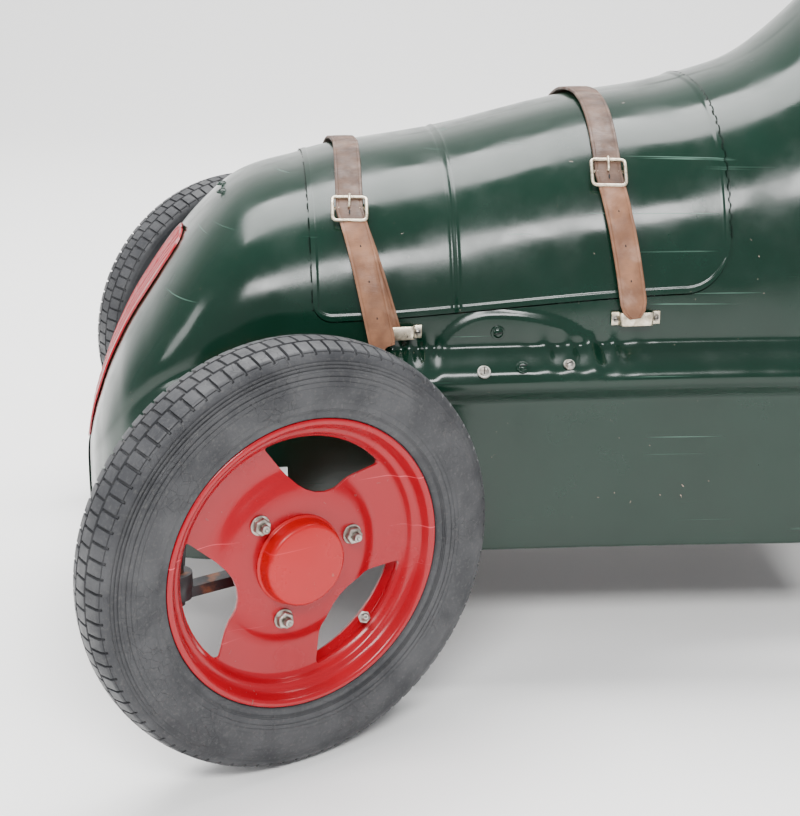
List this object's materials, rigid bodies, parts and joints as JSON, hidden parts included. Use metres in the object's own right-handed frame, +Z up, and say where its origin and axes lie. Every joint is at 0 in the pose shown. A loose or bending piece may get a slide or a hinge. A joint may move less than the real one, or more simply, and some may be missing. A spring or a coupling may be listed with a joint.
{
  "type": "pedal car",
  "caption": "Child's single-seat racing pedal car in pressed steel with spoked disc wheels, strapped lift-off bonnet, steering linkage and crank pedal drive.",
  "frame": {"origin": "on the ground at the centre of the whole car's box", "axes": "+X forward, +Y to the driver's left, +Z up"},
  "size_m": [1.6199, 0.7578, 0.5857],
  "materials": {
    "body_green": "aged gloss enamel",
    "wheel_red": "aged gloss enamel",
    "grille_red": "aged gloss enamel",
    "tyre_rubber": "weathered rubber",
    "plated_steel": "dull zinc plate",
    "chassis_black": "satin black",
    "engine_aluminium": "cast",
    "lead_plastic": "satin",
    "dial_chrome": "polished rims",
    "grip_black": "satin grip",
    "seat_vinyl": "leathercloth",
    "strap_leather": "worn harness leather",
    "buckle_nickel": "tarnished nickel"
  },
  "bodies": {
    "car": {"nose_cowl": "body_green", "tail_shell": "body_green", "scuttle": "body_green", "side_panel_left": "body_green", "side_panel_right": "body_green", "dashboard": "body_green", "cockpit_trim": "seat_vinyl", "seat_cushion": "seat_vinyl", "seat_back": "seat_vinyl", "grille": "grille_red", "front_axle_beam": "chassis_black", "column_bearings": "chassis_black", "axle_bearings": "chassis_black", "pedal_shaft": "chassis_black", "chassis_frame": "chassis_black", "floor_pan": "chassis_black", "seat_pan": "chassis_black", "handbrake_bracket": "chassis_black", "engine_block": "chassis_black", "rocker_cover": "engine_aluminium", "spark_plugs": "plated_steel", "plug_leads": "lead_plastic", "instruments": "dial_chrome", "footman_loops": "buckle_nickel", "body_screws": "plated_steel"},
    "knuckle_left": {"stub_axle_left": "chassis_black"},
    "knuckle_right": {"stub_axle_right": "chassis_black"},
    "track_link": {"track_rod": "chassis_black"},
    "column": {"steering_column": "chassis_black", "steering_wheel": "grip_black"},
    "pedal_l": {"pedal_left": "chassis_black"},
    "pedal_r": {"pedal_right": "chassis_black"},
    "push_rod_l": {"pedal_rod_left": "chassis_black"},
    "push_rod_r": {"pedal_rod_right": "chassis_black"},
    "bonnet_lid": {"bonnet": "body_green", "bonnet_straps": "strap_leather", "strap_buckles": "buckle_nickel"},
    "brake_lever": {"handbrake_lever": "plated_steel"},
    "wheel_fl": {"tyre_front_left": "tyre_rubber", "rim_front_left": "wheel_red", "hub_cap_front_left": "wheel_red", "wheel_nuts_front_left": "plated_steel", "valve_front_left": "plated_steel"},
    "wheel_fr": {"tyre_front_right": "tyre_rubber", "rim_front_right": "wheel_red", "hub_cap_front_right": "wheel_red", "wheel_nuts_front_right": "plated_steel", "valve_front_right": "plated_steel"},
    "wheel_rl": {"tyre_rear_left": "tyre_rubber", "rim_rear_left": "wheel_red", "hub_cap_rear_left": "wheel_red", "wheel_nuts_rear_left": "plated_steel", "valve_rear_left": "plated_steel"},
    "crank": {"crank_axle": "chassis_black", "tyre_rear_right": "tyre_rubber", "rim_rear_right": "wheel_red", "hub_cap_rear_right": "wheel_red", "wheel_nuts_rear_right": "plated_steel", "valve_rear_right": "plated_steel"}
  },
  "joints": [
    {"name": "steering", "type": "hinge", "parent": "car", "child": "column", "pos_m": [0.675, 0, 0.19], "axis": [-0.9063, 0, 0.4226], "range_deg": [-57, 3]},
    {"name": "kingpin_left", "type": "hinge", "parent": "car", "child": "knuckle_left", "pos_m": [0.65, 0.2633, 0.15875], "axis": [0, 0, 1], "range_deg": [-57, 3]},
    {"name": "kingpin_right", "type": "hinge", "parent": "car", "child": "knuckle_right", "pos_m": [0.65, -0.2633, 0.15875], "axis": [0, 0, 1], "range_deg": [-57, 3]},
    {"name": "track_rod_pivot", "type": "hinge", "parent": "knuckle_left", "child": "track_link", "pos_m": [0.71683, 0.29735, 0.14625], "axis": [0, 0, 1], "range_deg": [-3, 57]},
    {"name": "wheel_spin_front_left", "type": "hinge", "parent": "knuckle_left", "child": "wheel_fl", "pos_m": [0.63638, 0.29003, 0.15875], "axis": [-0.454, 0.891, 0], "continuous": true},
    {"name": "wheel_spin_front_right", "type": "hinge", "parent": "knuckle_right", "child": "wheel_fr", "pos_m": [0.66362, -0.29003, 0.15875], "axis": [-0.454, 0.891, 0], "continuous": true},
    {"name": "crank_turn", "type": "hinge", "parent": "car", "child": "crank", "pos_m": [-0.4, 0, 0.15875], "axis": [0, 1, 0], "continuous": true},
    {"name": "wheel_spin_rear_left", "type": "hinge", "parent": "crank", "child": "wheel_rl", "pos_m": [-0.4, 0.29, 0.15875], "axis": [0, 1, 0], "continuous": true},
    {"name": "push_rod_pivot_left", "type": "hinge", "parent": "crank", "child": "push_rod_l", "pos_m": [-0.35, 0.075, 0.15875], "axis": [0, 1, 0], "continuous": true},
    {"name": "push_rod_pivot_right", "type": "hinge", "parent": "crank", "child": "push_rod_r", "pos_m": [-0.45, -0.075, 0.15875], "axis": [0, 1, 0], "continuous": true},
    {"name": "pedal_swing_left", "type": "hinge", "parent": "car", "child": "pedal_l", "pos_m": [0.3, 0.0814, 0.31074], "axis": [0, 1, 0], "range_deg": [0, 36.4]},
    {"name": "pedal_swing_right", "type": "hinge", "parent": "car", "child": "pedal_r", "pos_m": [0.3, -0.0814, 0.31074], "axis": [0, 1, 0], "range_deg": [-36.4, 0]},
    {"name": "bonnet_lift", "type": "slide", "parent": "car", "child": "bonnet_lid", "axis": [0, 0, 1], "range_m": [0, 0.25]},
    {"name": "handbrake", "type": "hinge", "parent": "car", "child": "brake_lever", "pos_m": [-0.01, -0.141, 0.136], "axis": [0, 1, 0], "range_deg": [-35, 0]}
  ],
  "couplings": [
    {"joint": "kingpin_left", "follows": "steering", "ratio": 1},
    {"joint": "kingpin_right", "follows": "steering", "ratio": 1},
    {"joint": "track_rod_pivot", "follows": "steering", "ratio": -1},
    {"joint": "push_rod_pivot_left", "follows": "crank_turn", "ratio": -1},
    {"joint": "push_rod_pivot_right", "follows": "crank_turn", "ratio": -1},
    {"joint": "pedal_swing_right", "follows": "pedal_swing_left", "ratio": -1}
  ]
}
